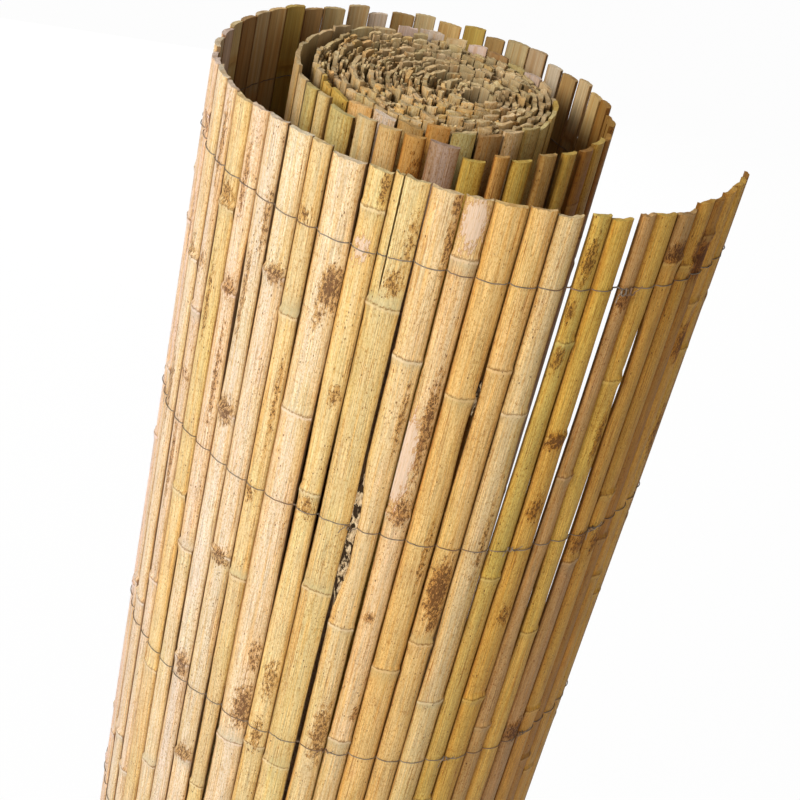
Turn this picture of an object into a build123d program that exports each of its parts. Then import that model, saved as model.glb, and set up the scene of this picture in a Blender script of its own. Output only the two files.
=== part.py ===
from build123d import *
import math
import os

# Split reed screening: a mat of split reeds bound by rows of thin wire, standing on end as a roll.
# Its outer turn has sprung loose and its tail swings open. Millimetres, +Z up, seen from above with
# +X to the right, the open front towards -Y and the floor at Z = 0.

# Reeds: strips split from hollow canes, side by side, with the round face outwards
SCREEN_HEIGHT = 1000.0
REED_WIDTH = 13.2           # mean width of a reed with its share of the gap beside it
REED_SPREAD = 0.12          # share by which the rolled reeds differ from that mean
FRONT_WIDTHS = (10, 14, 14, 11, 13, 15, 13.5, 10.5, 14, 11.5, 15, 13.5, 15.5, 13, 15.5, 12, 5, 13, 18,
                11.5, 14, 13.5, 12.5, 13.5, 11, 16, 10)     # reeds of the open front, from the free end
EDGE_THICKNESS = 1.6        # thickness of a reed at its split edges
OPEN_REEDS = 68             # reeds from the free end that show their whole round, the rest lie rolled
OPEN_ROUND = 77.0           # degrees of the cane's round that the outer face of an open reed keeps
OPEN_HOLLOW = 34.0          # degrees of arc across its hollow inner face
ROLLED_ROUND = 42.0         # the round of the flatter rolled reeds, whose inner face is plain

# Roll: tangent quarter turns from the eye outwards, tight to the right and slacker elsewhere, and
# then the loose turns in eighths
EYE_RADIUS = 5.0
EYE_WRAP = 1.0              # widest reed that turns so close to the eye, as a share of the radius there
CORE_QUARTERS = 39
TURN_CLEARANCE = 0.4        # air between turns on the tight side
LEFT_SLACK = 5.9            # extra spacing of the turns on the left
FRONT_SLACK = 2.6           # extra spacing of the turns at the front
LOOSE_EXTRAS = (11, 18, 9, 11, 17, 23, 32, 32, 18, 82)  # extra radius of each eighth over the tight roll
TAIL_EXTRA = 59.0
TAIL_SWEEP = 80.0           # degrees that the open tail goes on turning

# Gaps between the loose reeds, by the reed edges that they follow, counted from the free end
GAP_LINES = 60
NARROW_GAP = 0.6
FRONT_GAP = 1.6             # widest gap between the reeds of the open front
BACK_GAP = 3.4              # widest gap between the loose reeds behind them
TAIL_GAPS = {8: 3.0, 10: 2.4}   # two gaps of the tail that stand wide open
GAP_OVERCUT = 1.0           # how far a gap's cut runs past both faces of the wall
BRIDGE_HEIGHT = 16.0        # wall left whole behind the middle wire

# Binding wires
WIRE_ROWS = 7
WIRE_MARGIN = 41.0          # from each end of the reeds to the nearest row
WIRE_THICKNESS = 0.8
WIRE_SEAT = 0.25            # air between a wire and the crowns it crosses
BOUND_REEDS = 50            # reeds from the free end that the wires cross in the open

GOLDEN = (math.sqrt(5) - 1) / 2     # steps of this share spread values evenly and without a pattern


def scatter(index):
    """A value between -1 and 1 that differs from reed to reed."""
    return 2 * (index * GOLDEN % 1) - 1


def rise(width, degrees):
    """Height of an arc of so many degrees over its chord."""
    return width / 2 * math.tan(math.radians(degrees) / 4)


def along(point, heading, distance):
    """The point moved the way the roll runs there, towards the free end."""
    return (point[0] + distance * math.cos(heading), point[1] + distance * math.sin(heading))


def outwards(point, heading, distance):
    """The point moved square to the way the roll runs there, away from the eye."""
    return along(point, heading - math.pi / 2, distance)


# Spacing of the turns on each side of the eye, and the radius that each quarter turn gains
widest_reed = REED_WIDTH * (1 + REED_SPREAD)
tight_spacing = EDGE_THICKNESS + rise(widest_reed, ROLLED_ROUND) + TURN_CLEARANCE
front_spacing = tight_spacing + FRONT_SLACK
turn_growth = tight_spacing + LEFT_SLACK / 2
lean = turn_growth - tight_spacing
swing = (front_spacing - lean) / 2
quarter_growth = (0, (turn_growth - swing) / 2, (lean + front_spacing) / 2, (turn_growth + swing) / 2)


def tight_radius(quarter):
    """Radius of a quarter turn of the tight roll, counted from the eye."""
    return EYE_RADIUS + turn_growth * (quarter // 4) + quarter_growth[quarter % 4]


# Radius and sweep of every stretch of the roll, from the eye to the free end
stretches = [(tight_radius(quarter), 90.0) for quarter in range(CORE_QUARTERS)]
for eighth, extra in enumerate(LOOSE_EXTRAS):
    stretches.append((tight_radius(CORE_QUARTERS + eighth // 2) + extra, 45.0))
tail_quarter = CORE_QUARTERS + len(LOOSE_EXTRAS) // 2
stretches.append((tight_radius(tail_quarter) + TAIL_EXTRA, TAIL_SWEEP))
mat_length = sum(radius * math.radians(sweep) for radius, sweep in stretches)


def place(distance):
    """Point, heading and radius of the mat at a distance from its free end."""
    remaining = mat_length - distance
    point, heading = (0.0, 0.0), 0.0
    for radius, sweep in stretches:
        turn = min(remaining / radius, math.radians(sweep))
        point = along(point, heading + turn / 2, 2 * radius * math.sin(turn / 2))
        heading += turn
        remaining -= radius * turn
        if remaining <= 0:
            break
    return point, heading, radius


def gap_width(line):
    """Width of the gap at a reed edge."""
    if line not in range(1, GAP_LINES + 1):
        return 0.0
    widest_gap = FRONT_GAP if line <= len(FRONT_WIDTHS) else BACK_GAP
    return TAIL_GAPS.get(line, NARROW_GAP + (widest_gap - NARROW_GAP) * scatter(line * line) ** 2)


# Reed edges along the mat, from the free end inwards
edge_distances = [0.0]
for width in FRONT_WIDTHS:
    edge_distances.append(edge_distances[-1] + width)
while edge_distances[-1] + EYE_WRAP * EYE_RADIUS < mat_length:
    rolled_width = REED_WIDTH * (1 + REED_SPREAD * scatter(len(edge_distances)))
    eye_width = EYE_WRAP * place(edge_distances[-1])[2]
    edge_distances.append(edge_distances[-1] + min(rolled_width, eye_width))
edges = [place(distance) for distance in edge_distances]


def reed_corner(line, side, thickness):
    """Corner of the reed on one side of an edge: side 1 towards the free end, -1 towards the eye."""
    point, heading, radius = edges[line]
    return outwards(along(point, heading, side * gap_width(line) / 2), heading, thickness)


def arch(start, end, degrees):
    """Top of the arc that bulges outwards over a chord, and the way the roll runs there."""
    heading = math.atan2(start[1] - end[1], start[0] - end[0])
    middle = ((start[0] + end[0]) / 2, (start[1] + end[1]) / 2)
    return outwards(middle, heading, rise(math.dist(start, end), degrees)), heading


# The outer and inner face of every reed: its corner nearer the free end, arc top, and other corner
reed_count = len(edges) - 1
outer_faces = []
inner_faces = []
crowns = []
for reed in range(reed_count):
    outer_start = reed_corner(reed, -1, EDGE_THICKNESS)
    outer_end = reed_corner(reed + 1, 1, EDGE_THICKNESS)
    crown = arch(outer_start, outer_end, OPEN_ROUND if reed < OPEN_REEDS else ROLLED_ROUND)
    crowns.append(crown)
    outer_faces.append((outer_start, crown[0], outer_end))
    inner_start = reed_corner(reed, -1, 0)
    inner_end = reed_corner(reed + 1, 1, 0)
    inner_faces.append((inner_start, arch(inner_start, inner_end, OPEN_HOLLOW)[0], inner_end))

# The line of a binding wire in plan, over the crowns of the reeds that lie open to view
bound_crowns = crowns[:BOUND_REEDS]
wire_inside = [outwards(point, heading, WIRE_SEAT) for point, heading in bound_crowns]
wire_outside = [outwards(point, heading, WIRE_SEAT + WIRE_THICKNESS) for point, heading in bound_crowns]

# The middle of the roll's outline in plan is the origin
outline = wire_outside + [outer_faces[0][0]]
middle_x = (min(x for x, y in outline) + max(x for x, y in outline)) / 2
middle_y = (min(y for x, y in outline) + max(y for x, y in outline)) / 2


def plan_plane(height):
    """The plan's plane at a height, with the roll's middle on the Z axis."""
    return Plane(origin=(-middle_x, -middle_y, height))


os.makedirs("parts", exist_ok=True)

# The loose turns of the mat: a ridged wall, with gaps right through it between the reeds
bridge_top = (SCREEN_HEIGHT + BRIDGE_HEIGHT) / 2
bridge_bottom = (SCREEN_HEIGHT - BRIDGE_HEIGHT) / 2
gap_depth = EDGE_THICKNESS + 2 * GAP_OVERCUT

with BuildPart() as loose_reeds:
    with BuildSketch(plan_plane(0)):
        with BuildLine():
            for face in outer_faces[:OPEN_REEDS]:
                ThreePointArc(*face)
        with BuildLine():
            for face in inner_faces[:OPEN_REEDS]:
                ThreePointArc(*face)
        with BuildLine():
            for line in range(1, GAP_LINES + 1):
                Line(outer_faces[line - 1][2], outer_faces[line][0])
                Line(inner_faces[line - 1][2], inner_faces[line][0])
            Line(outer_faces[0][0], inner_faces[0][0])
            Line(outer_faces[OPEN_REEDS - 1][2], inner_faces[OPEN_REEDS - 1][2])
        make_face()
    extrude(amount=SCREEN_HEIGHT)
    with BuildSketch(plan_plane(0)) as gaps:
        for line in range(1, GAP_LINES + 1):
            point, heading, radius = edges[line]
            cut_middle = outwards(point, heading, EDGE_THICKNESS / 2)
            with Locations(Location(cut_middle, math.degrees(heading))):
                Rectangle(gap_width(line), gap_depth)
    extrude(amount=bridge_bottom, mode=Mode.SUBTRACT)
    upper_gaps = gaps.sketch.moved(Location((0, 0, bridge_top)))
    extrude(upper_gaps, amount=SCREEN_HEIGHT - bridge_top, mode=Mode.SUBTRACT)
loose_reeds.part.label = "loose_reeds"
export_step(loose_reeds.part, "parts/loose_reeds.step")

# The rolled core, which goes on from the loose turns: its first reed meets their last one edge to edge
with BuildPart() as rolled_reeds:
    with BuildSketch(plan_plane(0)):
        with BuildLine():
            for face in outer_faces[OPEN_REEDS:]:
                ThreePointArc(*face)
        with BuildLine():
            core_inside = [face[0] for face in inner_faces[OPEN_REEDS:]]
            Polyline(outer_faces[OPEN_REEDS][0], *core_inside, inner_faces[-1][2], outer_faces[-1][2])
        make_face()
    extrude(amount=SCREEN_HEIGHT)
rolled_reeds.part.label = "rolled_reeds"
export_step(rolled_reeds.part, "parts/rolled_reeds.step")

# The binding wires, in rows spread evenly over the height
row_pitch = (SCREEN_HEIGHT - 2 * WIRE_MARGIN) / (WIRE_ROWS - 1)
for row in range(WIRE_ROWS):
    wire_bottom = WIRE_MARGIN + row * row_pitch - WIRE_THICKNESS / 2
    with BuildPart() as binding_wire:
        with BuildSketch(plan_plane(wire_bottom)):
            with BuildLine():
                Polyline(*wire_inside, *reversed(wire_outside), close=True)
            make_face()
        extrude(amount=WIRE_THICKNESS)
    binding_wire.part.label = f"binding_wire_{row + 1}"
    export_step(binding_wire.part, f"parts/binding_wire_{row + 1}.step")
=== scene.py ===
import math

import bpy
import numpy as np
from mathutils import Matrix, Vector


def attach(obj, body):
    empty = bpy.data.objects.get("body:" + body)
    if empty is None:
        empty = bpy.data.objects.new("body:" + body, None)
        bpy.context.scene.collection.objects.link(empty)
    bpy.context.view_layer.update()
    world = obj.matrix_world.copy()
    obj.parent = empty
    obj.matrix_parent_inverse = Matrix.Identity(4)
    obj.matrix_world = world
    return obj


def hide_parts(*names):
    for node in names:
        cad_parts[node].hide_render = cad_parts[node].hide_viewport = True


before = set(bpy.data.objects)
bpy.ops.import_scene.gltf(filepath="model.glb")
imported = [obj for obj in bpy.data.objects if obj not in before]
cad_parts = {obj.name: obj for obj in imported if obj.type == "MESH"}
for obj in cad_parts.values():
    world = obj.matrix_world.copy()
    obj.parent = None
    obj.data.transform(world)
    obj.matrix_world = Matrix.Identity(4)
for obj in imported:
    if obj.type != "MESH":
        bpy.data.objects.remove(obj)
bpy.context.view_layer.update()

# Sizes of the part, in millimetres, as in its source
SCREEN_HEIGHT = 1000.0
REED_WIDTH = 13.2
REED_SPREAD = 0.12
FRONT_WIDTHS = (10, 14, 14, 11, 13, 15, 13.5, 10.5, 14, 11.5, 15, 13.5, 15.5, 13, 15.5, 12, 5, 13, 18,
                11.5, 14, 13.5, 12.5, 13.5, 11, 16, 10)
EDGE_THICKNESS = 1.6
OPEN_REEDS = 68
OPEN_ROUND = 77.0
OPEN_HOLLOW = 34.0
ROLLED_ROUND = 42.0
EYE_RADIUS = 5.0
EYE_WRAP = 1.0
CORE_QUARTERS = 39
TURN_CLEARANCE = 0.4
LEFT_SLACK = 5.9
FRONT_SLACK = 2.6
LOOSE_EXTRAS = (11, 18, 9, 11, 17, 23, 32, 32, 18, 82)
TAIL_EXTRA = 59.0
TAIL_SWEEP = 80.0
GAP_LINES = 60
NARROW_GAP = 0.6
FRONT_GAP = 1.6
BACK_GAP = 3.4
TAIL_GAPS = {8: 3.0, 10: 2.4}
WIRE_ROWS = 7
WIRE_MARGIN = 41.0
WIRE_THICKNESS = 0.8
WIRE_SEAT = 0.25
BOUND_REEDS = 50
GOLDEN = (math.sqrt(5) - 1) / 2
FRONT_REEDS = len(FRONT_WIDTHS)


# The roll's layout in plan, as in the part's source
def scatter(index):
    return 2 * (index * GOLDEN % 1) - 1


def rise(width, degrees):
    return width / 2 * math.tan(math.radians(degrees) / 4)


def along(point, heading, distance):
    return (point[0] + distance * math.cos(heading), point[1] + distance * math.sin(heading))


def outwards(point, heading, distance):
    return along(point, heading - math.pi / 2, distance)


def directions(heading, axes=2):
    """Unit vectors along the roll, towards the free end, and outwards from it."""
    cosine, sine = math.cos(heading), math.sin(heading)
    return np.array([cosine, sine, 0.0][:axes]), np.array([sine, -cosine, 0.0][:axes])


widest_reed = REED_WIDTH * (1 + REED_SPREAD)
tight_spacing = EDGE_THICKNESS + rise(widest_reed, ROLLED_ROUND) + TURN_CLEARANCE
front_spacing = tight_spacing + FRONT_SLACK
turn_growth = tight_spacing + LEFT_SLACK / 2
lean = turn_growth - tight_spacing
swing = (front_spacing - lean) / 2
quarter_growth = (0, (turn_growth - swing) / 2, (lean + front_spacing) / 2, (turn_growth + swing) / 2)


def tight_radius(quarter):
    return EYE_RADIUS + turn_growth * (quarter // 4) + quarter_growth[quarter % 4]


stretches = [(tight_radius(quarter), 90.0) for quarter in range(CORE_QUARTERS)]
for eighth, extra in enumerate(LOOSE_EXTRAS):
    stretches.append((tight_radius(CORE_QUARTERS + eighth // 2) + extra, 45.0))
tail_quarter = CORE_QUARTERS + len(LOOSE_EXTRAS) // 2
stretches.append((tight_radius(tail_quarter) + TAIL_EXTRA, TAIL_SWEEP))
mat_length = sum(radius * math.radians(sweep) for radius, sweep in stretches)


def place(distance):
    remaining = mat_length - distance
    point, heading = (0.0, 0.0), 0.0
    for radius, sweep in stretches:
        turn = min(remaining / radius, math.radians(sweep))
        point = along(point, heading + turn / 2, 2 * radius * math.sin(turn / 2))
        heading += turn
        remaining -= radius * turn
        if remaining <= 0:
            break
    return point, heading, radius


def gap_width(line):
    if line not in range(1, GAP_LINES + 1):
        return 0.0
    widest_gap = FRONT_GAP if line <= FRONT_REEDS else BACK_GAP
    return TAIL_GAPS.get(line, NARROW_GAP + (widest_gap - NARROW_GAP) * scatter(line * line) ** 2)


edge_distances = [0.0]
for width in FRONT_WIDTHS:
    edge_distances.append(edge_distances[-1] + width)
while edge_distances[-1] + EYE_WRAP * EYE_RADIUS < mat_length:
    rolled_width = REED_WIDTH * (1 + REED_SPREAD * scatter(len(edge_distances)))
    eye_width = EYE_WRAP * place(edge_distances[-1])[2]
    edge_distances.append(edge_distances[-1] + min(rolled_width, eye_width))
edges = [place(distance) for distance in edge_distances]
reed_count = len(edges) - 1


def reed_corner(line, side, thickness):
    point, heading, _ = edges[line]
    return outwards(along(point, heading, side * gap_width(line) / 2), heading, thickness)


def chord(reed, thickness):
    """Middle, half length and heading of a reed's chord at a level of its split edges."""
    start, end = reed_corner(reed, -1, thickness), reed_corner(reed + 1, 1, thickness)
    heading = math.atan2(start[1] - end[1], start[0] - end[0])
    return np.array([(start[0] + end[0]) / 2, (start[1] + end[1]) / 2]), math.dist(start, end) / 2, heading


outline = []
for reed in range(BOUND_REEDS):
    middle, half, heading = chord(reed, EDGE_THICKNESS)
    outline.append(outwards(middle, heading, rise(2 * half, OPEN_ROUND) + WIRE_SEAT + WIRE_THICKNESS))
outline.append(reed_corner(0, -1, EDGE_THICKNESS))
plan_low, plan_high = np.min(outline, axis=0), np.max(outline, axis=0)
plan_middle = (plan_low + plan_high) / 2
row_pitch = (SCREEN_HEIGHT - 2 * WIRE_MARGIN) / (WIRE_ROWS - 1)
wire_heights = [WIRE_MARGIN + row * row_pitch for row in range(WIRE_ROWS)]

# Tones of the reeds, as dry reed looks in plain light, save that honey, ochre, amber and brown were darkened
# and saturated partly as painted shade for the tail
TONES = {
    "cream": (0.75, 0.61, 0.445),
    "pale": (0.76, 0.63, 0.49),
    "pink": (0.74, 0.58, 0.475),
    "straw": (0.73, 0.555, 0.31),
    "lemon": (0.71, 0.565, 0.285),
    "green": (0.60, 0.475, 0.215),
    "gold": (0.71, 0.475, 0.205),
    "honey": (0.57, 0.33, 0.072),
    "ochre": (0.60, 0.375, 0.090),
    "amber": (0.58, 0.325, 0.10),
    "olive": (0.59, 0.405, 0.105),
    "mauve": (0.48, 0.295, 0.120),
    "purple": (0.45, 0.315, 0.24),
    "brown": (0.40, 0.21, 0.048),
    "tan": (0.68, 0.51, 0.275),
    "drab": (0.60, 0.45, 0.24),
}
# From the tail to the left end: browner, more saturated tones at the tail, on the side away from the key
# light, and paler ones at the lit left end, partly the reeds' own colour and partly painted shade and light
FRONT_TONES = ("brown honey honey brown honey ochre ochre mauve ochre olive straw gold gold straw straw lemon"
               " lemon straw cream straw cream pale cream straw cream pale pink").split()
PART_TONES = {5: ("mauve", "honey", "mauve")}  # from the top, node by node
BACK_TONES = ("tan", "drab", "olive", "mauve", "drab", "gold", "pink", "mauve")
TONE_REEDS = {
    "pink": (27, 29, 77, 78, 80, 83, 95), "cream": (28,), "straw": (30, 64, 66, 68, 75, 76, 79, 90),
    "brown": (50, 51, 52, 53, 55), "olive": (54, 56, 58, 60, 86, 97, 98), "mauve": (57, 81, 91, 94),
    "amber": (59, 62, 93), "purple": (61,), "gold": (63, 96), "green": (65, 67, 82, 87, 88, 89, 92),
}
OTHER_TONES = {reed: tone for tone, reeds in TONE_REEDS.items() for reed in reeds}
CORE_TONES = ("tan", "tan", "drab", "straw", "tan", "gold", "tan", "drab")

# Nodes of the front reeds, by their depth below the top
FRONT_NODES = {
    0: (70, 215, 372), 1: (95, 262), 2: (62, 240, 395), 3: (20, 208, 378), 4: (33, 172, 330),
    5: (28, 212, 335), 6: (93, 258, 420), 7: (150, 326, 470), 8: (123, 301, 455), 9: (68, 213, 380),
    10: (109, 300, 480), 11: (85, 258, 405), 12: (103, 279, 440), 13: (31, 178, 336, 470),
    14: (89, 257, 430), 15: (66, 239, 368, 500), 16: (66, 239, 368, 500), 17: (20, 181, 360, 480),
    18: (140, 366, 500), 19: (91, 255, 415), 20: (74, 247, 401), 21: (163, 335, 490),
    22: (99, 262, 430), 23: (58, 232, 362), 24: (124, 305, 460), 25: (100, 330, 440),
    26: (28, 178, 328, 455),
}
# Marks on the reeds: reed, depth, place across from -1 to 1, half length, half width as a share, strength
MARKS = {
    "stain": (
        (1, 150, 0.0, 16, 0.6, 0.95), (2, 86, 0.0, 12, 0.8, 1.15), (3, 34, -0.3, 9, 0.8, 1.3),
        (4, 30, 0.4, 14, 0.5, 1.0), (4, 205, 0.2, 9, 0.7, 0.9), (5, 24, 0.0, 5, 0.9, 1.2),
        (5, 200, 0.0, 7, 0.9, 1.0), (5, 340, 0.0, 8, 0.9, 1.1), (6, 128, 0.3, 16, 0.5, 0.8),
        (7, 46, 0.0, 7, 0.9, 0.95), (8, 126, 0.0, 5, 0.9, 1.25), (8, 168, 0.0, 9, 0.6, 0.95),
        (8, 240, 0.2, 8, 0.6, 0.8), (9, 24, -0.1, 12, 0.6, 1.0), (9, 52, -0.5, 6, 0.5, 1.0),
        (9, 78, -0.3, 7, 0.6, 0.95), (10, 190, 0.4, 30, 0.25, 0.7), (11, 222, 0.1, 19, 0.75, 1.3),
        (11, 243, 0.4, 5, 0.5, 1.2), (12, 200, 0.5, 24, 0.25, 0.7), (13, 124, 0.4, 30, 0.45, 1.0),
        (13, 175, 0.1, 11, 0.9, 0.9), (13, 247, -0.2, 4, 0.5, 1.0), (13, 316, 0.6, 5, 0.4, 0.9),
        (14, 6, 0.75, 8, 0.3, 0.95), (14, 27, 0.75, 17, 0.25, 0.9), (14, 122, 0.6, 22, 0.22, 0.8),
        (14, 335, 0.4, 22, 0.7, 0.85), (15, 30, 0.5, 14, 0.5, 0.6), (15, 54, 0.0, 7, 0.8, 0.85),
        (17, 8, 0.6, 12, 0.3, 0.9), (17, 122, 0.3, 6, 0.5, 0.9), (17, 190, 0.1, 8, 0.8, 0.75),
        (17, 310, 0.2, 16, 0.7, 0.75), (17, 352, 0.0, 14, 0.6, 0.8), (18, 67, 0.5, 11, 0.55, 1.25),
        (18, 84, 0.1, 9, 0.3, 0.7), (18, 300, 0.6, 14, 0.4, 0.8), (18, 338, 0.5, 15, 0.6, 1.1),
        (19, 38, -0.3, 6, 0.7, 0.75), (19, 142, 0.4, 30, 0.25, 0.75), (19, 199, -0.4, 7, 0.6, 0.8),
        (20, 74, 0.2, 6, 0.8, 0.95), (20, 249, 0.0, 6, 0.9, 0.9), (20, 398, 0.0, 6, 0.9, 0.95),
        (21, 50, 0.6, 18, 0.35, 0.75), (21, 96, -0.3, 30, 0.3, 0.85), (21, 163, -0.1, 8, 0.9, 1.05),
        (21, 338, 0.2, 10, 0.6, 1.0), (22, 40, -0.2, 22, 0.3, 0.85), (22, 97, 0.0, 6, 0.8, 0.85),
        (22, 150, 0.3, 34, 0.28, 0.85), (23, 52, 0.0, 8, 0.8, 0.8), (23, 112, -0.2, 28, 0.3, 0.8),
        (24, 30, 0.2, 24, 0.3, 0.85), (24, 97, 0.0, 6, 0.8, 0.75), (24, 165, 0.0, 5, 0.8, 0.75),
        (24, 222, 0.1, 30, 0.3, 0.85), (25, 96, 0.0, 8, 0.7, 0.75), (25, 182, 0.0, 26, 0.35, 0.85),
        (26, 33, 0.0, 6, 0.9, 0.9), (26, 92, 0.1, 20, 0.45, 0.85), (26, 195, 0.0, 8, 0.8, 0.8),
        (40, 12, 0.0, 8, 0.7, 0.9), (62, 30, 0.4, 20, 0.6, 0.85),
    ),
    "peel": (
        (13, 12, 0.0, 13, 0.75, 1.0), (13, 146, -0.75, 24, 0.75, 1.05), (17, 42, -0.1, 7, 0.6, 0.75),
    ),
    "speck": (
        (6, 125, 0.2, 20, 1.2, 0.9), (9, 270, 0.0, 25, 1.2, 1.1), (10, 70, 0.0, 60, 1.2, 0.35),
        (11, 250, 0.0, 60, 1.2, 0.8), (12, 60, 0.0, 50, 1.2, 0.4), (13, 310, 0.0, 40, 1.2, 1.0),
        (14, 110, -0.2, 25, 1.2, 0.9), (14, 320, 0.2, 45, 1.4, 1.2), (17, 90, 0.2, 40, 1.2, 1.0),
        (17, 385, 0.0, 25, 1.2, 1.2), (18, 95, 0.1, 28, 1.2, 1.0), (18, 240, 0.0, 60, 1.2, 0.6),
        (19, 300, 0.0, 80, 1.2, 0.7), (20, 150, 0.0, 40, 1.2, 0.6), (20, 320, 0.0, 60, 1.2, 0.8),
        (21, 40, 0.2, 45, 1.2, 1.0), (21, 330, 0.0, 60, 1.2, 0.9), (22, 30, 0.2, 40, 1.2, 0.7),
        (22, 260, 0.0, 90, 1.2, 0.8), (23, 200, 0.0, 80, 1.2, 0.8), (24, 390, 0.0, 70, 1.2, 0.9),
        (25, 150, 0.0, 25, 1.2, 1.0), (25, 300, 0.0, 80, 1.2, 0.8), (26, 150, 0.0, 25, 1.2, 1.0),
    ),
}
MARK_FALL = 0.7
# Reeds whose edge is torn: reed, depth, side, half length, loss in millimetres
TORN = ((14, 200, -1, 52, 4.0),)
TORN_RISE, TORN_RAGGED, TORN_SPREAD = 1.3, 0.15, 0.2
# Slits that open between front reeds: reed edge, depth, half length, opening in millimetres
SLITS = (
    (15, 110, 70, 0.9), (15, 330, 130, 1.4), (17, 190, 60, 1.1), (18, 190, 80, 1.3), (18, 15, 35, 1.0),
    (19, 60, 90, 0.9), (21, 60, 80, 0.7), (22, 112, 45, 1.5), (22, 330, 60, 0.7), (24, 70, 50, 0.7),
    (20, 390, 70, 1.0), (19, 390, 60, 1.6), (12, 112, 45, 0.9), (13, 80, 60, 0.4), (14, 260, 90, 0.6),
    (26, 150, 45, 0.9), (23, 300, 60, 0.8), (25, 250, 60, 0.5), (11, 265, 30, 0.7), (6, 90, 32, 2.0),
    (6, 205, 85, 1.6), (7, 240, 45, 1.5), (9, 140, 60, 0.3),
)
# Share of a gap that the reed on each side closes at the top: usual values, and single back gaps
FRONT_CLOSED, BACK_CLOSED, BACK_OPEN = 0.36, 0.49, 0.12
BACK_OPEN_LINE = 38
# Back gaps from this line on close further below their tops
FADING_LINE, FADING_DEPTH, FADING_LENGTH, FADED_SHARE = 37, 14, 45, 0.48
CLOSED_SHARE = {33: 0.44, 35: 0.43, 36: 0.44, 37: 0.05, 38: 0.49, 39: 0.12, 40: 0.49, 43: 0.15, 44: -0.8,
                45: 0.4, 46: -0.2, 47: 0.1}
# The tail's open gaps: depth where each starts to close, length over which it does, extra width above
TAIL_CLOSED = 0.47
TAIL_CLOSING = {8: (70, 230, 0.16), 10: (60, 160, 0.32)}
# Two strips of one wide reed that is cracked above its first node: place across the reed, in millimetres
CRACKED = {15: 2.5, 16: -6.0}
CRACKED_HALF = 8.5
CRACKED_EDGE = math.radians(27)
CRACK_LINE, CRACK_DEPTH, CRACK_FADE = 16, 52, 12
# Shares of the crack that each strip closes at the top and below it, and their lap there
CRACK_TOP, CRACK_BELOW, CRACK_LAP = 0.1, 0.5, 0.3
# Edges between second-turn reeds: air on each side with and without a gap in the solid, and those that
# stand off their even place, in millimetres towards the free end
GAPPED_SET_BACK, CLOSED_SET_BACK = 0.25, 0.75
LINE_SHIFT = {60: 2.0, 61: 2.0, 62: -1.7, 63: 0.8, 64: 1.5, 65: 1.0, 66: -2.0}
# Nodes with their grey-green band above the ring instead of below
BAND_ABOVE = {11, 15, 16, 18, 19, 22}


# Meshes
MILLIMETRE = 0.001
SHARP_ANGLE = math.radians(40)
FIELDS = {"FLOAT": "value", "FLOAT_VECTOR": "vector", "FLOAT_COLOR": "color"}
# Random values are seeded by these and the number of the reed, edge or row
REED_SEED, TOP_SEED, CORE_SEED, FRAY_SEED, WIRE_SEED, KNOT_SEED = 1000, 5000, 9000, 40, 300, 700
# Nodes: range of their spacing and of the first one's depth, drift of the spacing, room at wires and foot
NODE_PITCH, FIRST_NODE, NODE_DRIFT = (135, 215), (18, 150), (0.85, 1.12)
WIRE_ROOM, FOOT_ROOM = 7, 15


def mesh_object(name, points, faces, materials, face_kinds, attributes=None):
    """A mesh in metres from points in millimetres, with named values at its points."""
    mesh = bpy.data.meshes.new(name)
    mesh.from_pydata((np.asarray(points) * MILLIMETRE).tolist(), [], faces)
    for material in materials:
        mesh.materials.append(material)
    mesh.polygons.foreach_set("material_index", np.asarray(face_kinds, dtype=np.int32))
    for key, (kind, values) in (attributes or {}).items():
        layer = mesh.attributes.new(key, kind, "POINT")
        layer.data.foreach_set(FIELDS[kind], np.asarray(values, dtype=np.float32).ravel())
    mesh.shade_smooth()
    mesh.set_sharp_from_angle(angle=SHARP_ANGLE)
    mesh.update()
    piece = bpy.data.objects.new(name, mesh)
    bpy.context.scene.collection.objects.link(piece)
    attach(piece, "root")
    return piece


def ease(share):
    """A share held from 0 to 1, with a soft start and end."""
    share = np.clip(share, 0, 1)
    return share * share * (3 - 2 * share)


def smooth_noise(rng, count, length, step):
    """A gentle random line over a length, as a function of the distance along it."""
    knots = np.arange(0, length + 2 * step, step)
    values = rng.uniform(-1, 1, (count, len(knots)))

    def read(where):
        t = np.clip(where / step, 0, len(knots) - 1.001)
        low = t.astype(int)
        share = ease(t - low)
        return values[:, low] * (1 - share) + values[:, low + 1] * share
    return read


def pick_nodes(rng, reed):
    """Depths of a reed's nodes below its top, clear of the wire rows."""
    depths = list(FRONT_NODES.get(reed, ()))
    step = rng.uniform(*NODE_PITCH)
    depth = depths[-1] + step if depths else rng.uniform(*FIRST_NODE)
    while depth < SCREEN_HEIGHT - FOOT_ROOM:
        depths.append(depth)
        depth += step * rng.uniform(*NODE_DRIFT)
    clear = []
    for depth in depths:
        rows = (SCREEN_HEIGHT - height for height in wire_heights)
        nearest = min(rows, key=lambda row: abs(row - depth))
        shift = depth - nearest
        if abs(shift) < WIRE_ROOM:
            depth = nearest + (WIRE_ROOM if shift >= 0 else -WIRE_ROOM)
        clear.append(depth)
    return np.array(clear)


OUTER_POINTS = 13
INNER_POINTS = 7
LOOP = OUTER_POINTS + INNER_POINTS
SKIN, HOLLOW, END = range(3)
# Rings: spacing in the fine and the plain part, room kept clear at a node, and steps beside each node
FINE_STEP, PLAIN_STEP, NODE_ROOM = 6.0, 28.0, 3.2
NODE_STEPS = (-13, -8, -5, -3, -1.8, -1.0, -0.4, 0.2, 0.8, 1.6, 3, 5.5, 9)
# Reach of those steps in the fine part, room without rings at the top and foot, and least step
NEAR_STEPS, TOP_CLEAR, FOOT_CLEAR, LEAST_STEP = 6, 0.8, 4, 0.25
# Drop of the tops, and raggedness of the sawn ends
FRONT_DROP, BACK_DROP = 3.0, 5.0
FRONT_RAGGED, BACK_RAGGED = 0.9, 0.3
SLANT_REACH = 14
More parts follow.
